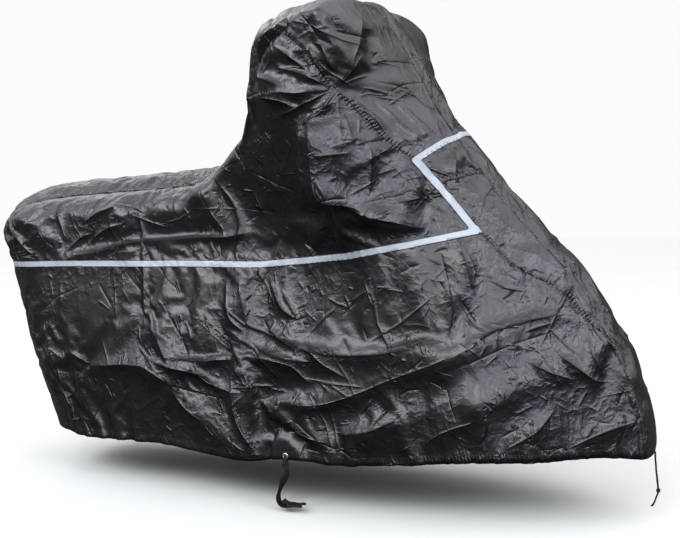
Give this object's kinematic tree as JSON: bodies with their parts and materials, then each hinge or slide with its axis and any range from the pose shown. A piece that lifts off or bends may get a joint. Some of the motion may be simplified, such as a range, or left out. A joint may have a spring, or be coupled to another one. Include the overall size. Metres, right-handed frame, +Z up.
{
  "type": "scooter cover",
  "caption": "Fitted outdoor scooter cover: a hollow draped shell of sewn cloth panels, open underneath, with reflective tape, hem eyelets, a buckled belly strap and a drawcord.",
  "frame": {"origin": "the carried point, just under the cloth at the top of the dome, on the cover's middle plane", "axes": "+X towards the nose, +Y towards the cover's left side, +Z up; the drape is modelled in metres as it hangs"},
  "size_m": [2.0451, 0.7616, 1.3527],
  "materials": {
    "cloth": "shiny coated woven polyester, black, finely crinkled",
    "tape": "retroreflective silver-grey tape, sewn along both edges",
    "metal": "pressed metal eyelet, slightly dull",
    "webbing": "flat black woven webbing, 25 mm",
    "plastic": "moulded black acetal, fine satin",
    "cord": "braided black elastic cord, 4 mm"
  },
  "bodies": {
    "root": {"side_panel_right": "cloth", "wing_panel_right": "cloth", "tape_right": "tape", "eyelet_right": "metal", "side_panel_left": "cloth", "wing_panel_left": "cloth", "tape_left": "tape", "eyelet_left": "metal", "centre_strip": "cloth", "tape_tail": "tape", "tape_nose": "tape", "belly_strap_long": "webbing", "buckle_plug": "plastic", "belly_strap_short": "webbing", "buckle_socket": "plastic", "drawcord_right": "cord", "drawcord_left": "cord", "drawcord_knot": "cord", "drawcord_loop": "cord"}
  },
  "joints": []
}
